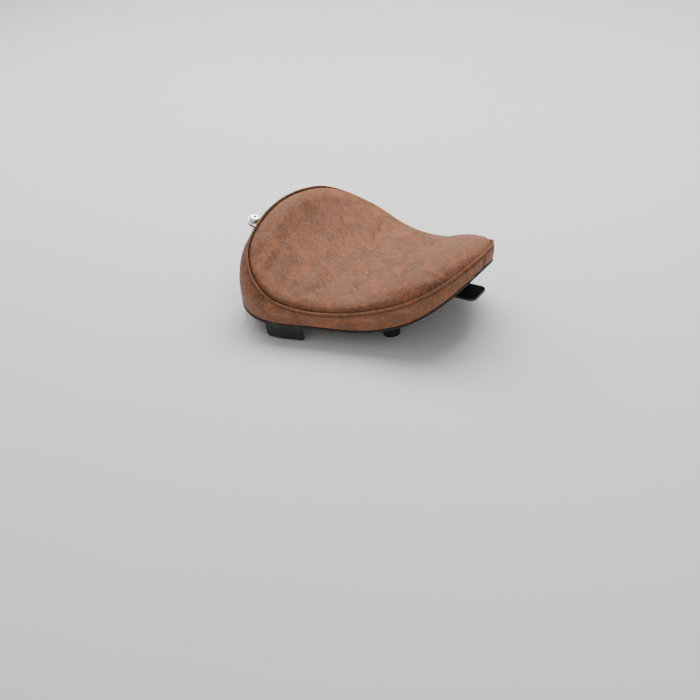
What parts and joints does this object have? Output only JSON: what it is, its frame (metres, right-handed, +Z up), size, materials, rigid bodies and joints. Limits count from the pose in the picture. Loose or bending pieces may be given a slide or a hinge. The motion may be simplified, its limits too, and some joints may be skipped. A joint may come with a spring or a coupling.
{
  "type": "motorcycle seat",
  "caption": "Low solo motorcycle seat: teardrop foam cushion in distressed brown vinyl on a moulded pan, with a rear screw tab, a front tongue and rubber feet.",
  "frame": {"origin": "on the plane of the rubber feet's undersides, at the middle of the overall length and width", "axes": "+X forward to the nose, +Y to the rider's left, +Z up"},
  "size_m": [0.4142, 0.2962, 0.1364],
  "materials": {
    "cover": "distressed mottled brown vinyl, soft satin, fine grain",
    "thread": "bonded dark brown thread",
    "foam": "open-cell moulded foam",
    "pan": "black thermoformed, fine texture",
    "rubber": "black moulded rubber",
    "carpet": "black needle-felt lining",
    "tab_steel": "bright plated strap",
    "zinc_steel": "zinc-plated",
    "bracket": "black powder coat, semi-gloss",
    "chrome": "polished chrome plate",
    "nylon": "natural nylon",
    "label": "black flexible tab with a plain embossed border"
  },
  "bodies": {
    "seat": {"top_panel": "cover", "side_band_left": "cover", "side_band_right": "cover", "seam_lip": "cover", "top_stitch_thread": "thread", "nose_joint_thread": "thread", "foam_cushion": "foam", "base_pan": "pan", "edge_trim": "rubber", "pan_carpet": "carpet", "rear_tab": "tab_steel", "tab_pad": "rubber", "tab_rivets": "zinc_steel", "front_tongue": "bracket", "tongue_rivets": "zinc_steel", "foot_washers": "zinc_steel", "foot_screws": "zinc_steel", "label_tab": "label", "hem_staples": "zinc_steel", "rubber_foot_rear_left": "rubber", "rubber_foot_rear_right": "rubber", "rubber_foot_front_left": "rubber", "rubber_foot_front_right": "rubber"},
    "loose_washer": {"screw_washer": "chrome"},
    "captive_screw": {"mounting_screw": "chrome", "screw_retainer": "nylon"}
  },
  "joints": [
    {"name": "screw_lift", "type": "slide", "parent": "seat", "child": "loose_washer", "axis": [0.309, 0, 0.9511], "range_m": [0, 0.002]},
    {"name": "screw_turn", "type": "hinge", "parent": "loose_washer", "child": "captive_screw", "pos_m": [-0.1965, 0, 0.093], "axis": [0.309, 0, 0.9511], "continuous": true}
  ]
}
